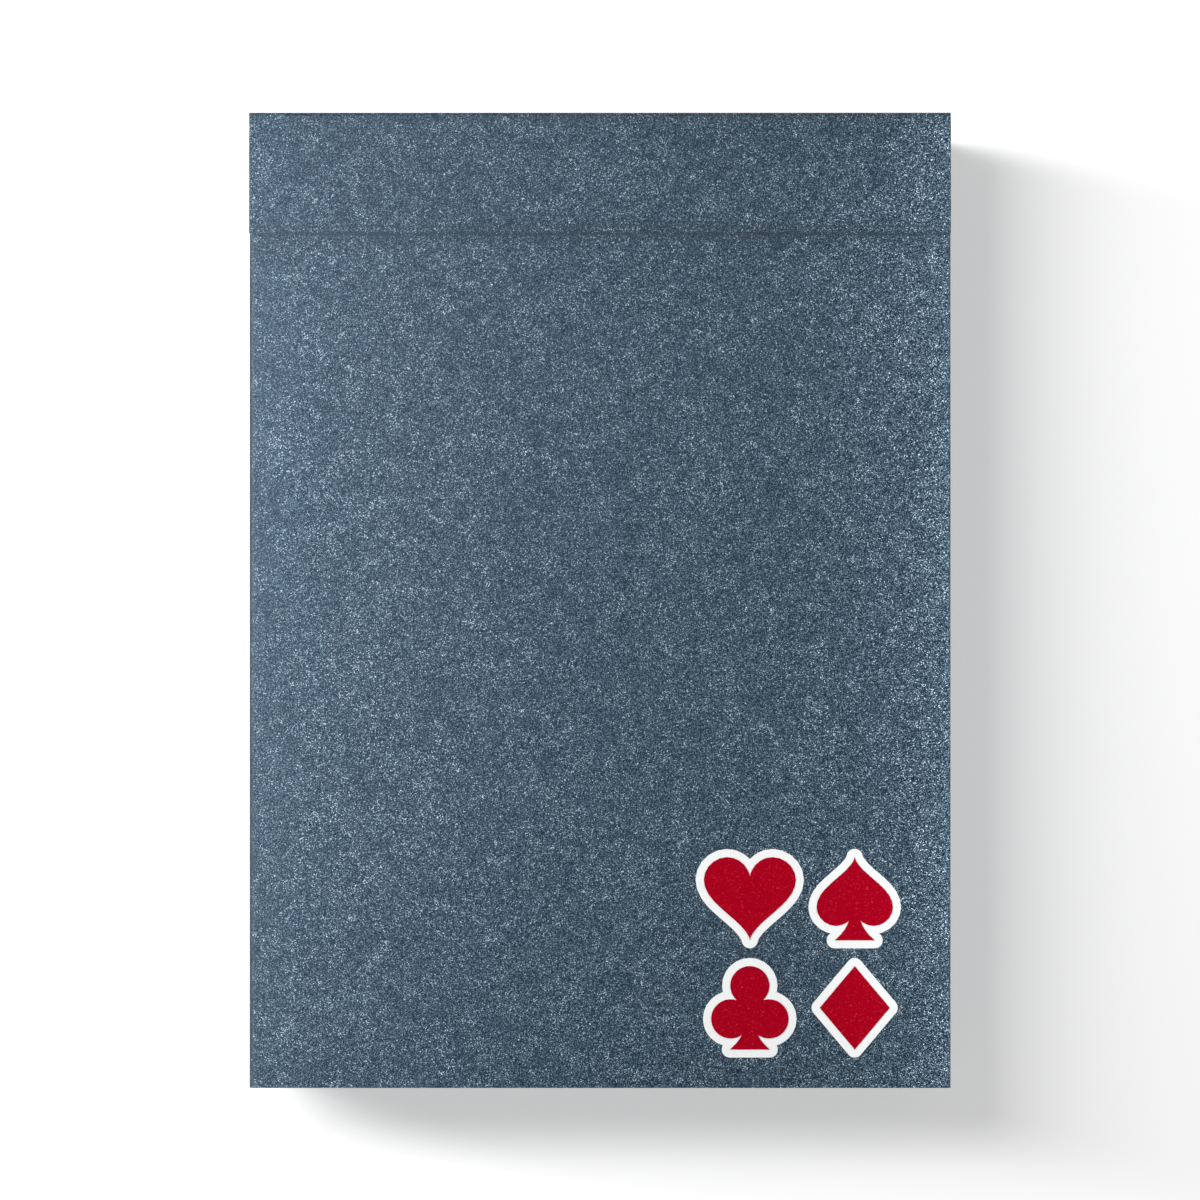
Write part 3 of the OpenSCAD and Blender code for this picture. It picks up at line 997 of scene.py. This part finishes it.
def make_floor():
    """A pale floor that keeps the shadow near the box and turns plain white further out."""
    mesh = bmesh.new()
    bmesh.ops.create_grid(mesh, x_segments=1, y_segments=1, size=FLOOR_HALF)
    floor = finish_mesh("floor", mesh)
    material, tree, shader = new_material("floor_white")
    tree.nodes.remove(shader)
    path = add_node(tree, "ShaderNodeLightPath")
    seen = math_node(tree, "MAXIMUM", path.outputs["Is Camera Ray"], path.outputs["Is Glossy Ray"])
    seen = math_node(tree, "MAXIMUM", seen, path.outputs["Is Transmission Ray"])
    place = add_node(tree, "ShaderNodeTexCoord").outputs["Object"]
    away = add_node(tree, "ShaderNodeVectorMath", {0: place}, operation="LENGTH").outputs["Value"]
    reach = {"Value": away, "From Min": FADE_START, "From Max": FADE_END}
    fade = add_node(tree, "ShaderNodeMapRange", reach, interpolation_type="SMOOTHSTEP").outputs["Result"]
    lit = add_node(tree, "ShaderNodeBsdfDiffuse", {"Color": (FLOOR_ALBEDO,) * 3 + (1,)})
    glow = add_node(tree, "ShaderNodeEmission", {"Strength": math_node(tree, "MULTIPLY", seen, FLOOR_GLOW)})
    near = add_node(tree, "ShaderNodeAddShader", {0: lit.outputs[0], 1: glow.outputs[0]})
    white = add_node(tree, "ShaderNodeEmission", {"Strength": 1.0})
    far = math_node(tree, "MULTIPLY", fade, seen)
    mixed = add_node(tree, "ShaderNodeMixShader", {0: far, 1: near.outputs[0], 2: white.outputs[0]})
    tree.links.new(mixed.outputs[0], tree.nodes["Material Output"].inputs["Surface"])
    floor.data.materials.append(material)
    return floor


def make_world(fill):
    """A white background for the camera and a soft fill for everything else."""
    world = bpy.data.worlds.new("studio")
    world.use_nodes = True
    tree = world.node_tree
    path = add_node(tree, "ShaderNodeLightPath")
    levels = {"Value": path.outputs["Is Camera Ray"], "To Min": fill, "To Max": 1.0}
    strength = add_node(tree, "ShaderNodeMapRange", levels).outputs["Result"]
    tree.links.new(strength, tree.nodes["Background"].inputs["Strength"])
    tree.nodes["Background"].inputs["Color"].default_value = (1, 1, 1, 1)
    bpy.context.scene.world = world


def make_area_light(name, place, target, along, size, power, colour=(1, 1, 1)):
    """A soft box that faces its target, its long side along a direction. The camera doesn't see it."""
    lamp = bpy.data.lights.new(name, "AREA")
    lamp.shape = "RECTANGLE"
    lamp.size, lamp.size_y = size
    lamp.energy = power
    lamp.color = colour
    light = bpy.data.objects.new(name, lamp)
    back = (Vector(place) - Vector(target)).normalized()
    across = back.cross(Vector(along)).normalized()
    facing = Matrix((across.cross(back), across, back)).transposed()
    light.matrix_world = Matrix.Translation(place) @ facing.to_4x4()
    light.visible_camera = False
    bpy.context.scene.collection.objects.link(light)
    return light


def leave_out(pieces, light):
    """Keeps a light off some pieces."""
    receivers = bpy.data.collections.new(light.name + "_receivers")
    for piece in pieces:
        receivers.objects.link(piece)
    for entry in receivers.collection_objects:
        entry.light_linking.link_state = "EXCLUDE"
    light.light_linking.receiver_collection = receivers


# The main light is a long strip, from above the box's upper left corner to far out at the left and lower
STRIP_NEAR = Vector((-0.055, 0.068, 0.3))
STRIP_FAR = Vector((-0.58, 0.15, 0.2))
STRIP_WIDTH = 0.072
STRIP_POWER = 1.75

# The side lights lie along the box, a little bluer: place from the panel's middle, length and width, power
COOL = (0.9, 0.985, 1.0)
SIDE_LIGHTS = {
    "left_box": ((-0.07, -0.012, 0.04), (0.15, 0.012), 0.077),
    "right_box": ((0.042, 0, 0.01), (0.105, 0.006), 0.0102),
}

WORLD_FILL = 0.14


def make_lights(floor, cards):
    """The main light, and side lights that leave the floor its shadow and don't clip the cards' white."""
    middle = (STRIP_NEAR + STRIP_FAR) / 2
    along = STRIP_FAR - STRIP_NEAR
    above = along.cross((0, 0, 1)).cross(along)
    make_area_light("main_strip", middle, middle - above, along, (along.length, STRIP_WIDTH), STRIP_POWER)
    for name, ((x, y, height), size, power) in SIDE_LIGHTS.items():
        light = make_area_light(name, (x, y, BOX_D + height), (0, y, BOX_D), (0, 1, 0), size, power, COOL)
        leave_out([floor] + cards, light)


# The photo's width, its scale on the back panel, and the camera's height above that panel
PHOTO_PX = 1200
PX_PER_MM = 10.704
CAMERA_HEIGHT = 0.3


def make_camera():
    """Straight above the box, with the lid end up and the photo's scale on the back panel."""
    data = bpy.data.cameras.new("camera")
    view_width = PHOTO_PX / PX_PER_MM * MM
    data.lens = data.sensor_width * CAMERA_HEIGHT / view_width
    camera = bpy.data.objects.new("camera", data)
    camera.location = (0, 0, BOX_D + CAMERA_HEIGHT)
    bpy.context.scene.collection.objects.link(camera)
    bpy.context.scene.camera = camera


make_lights(make_floor(), cards)
make_world(WORLD_FILL)
make_camera()
bpy.context.scene.view_settings.view_transform = "Standard"
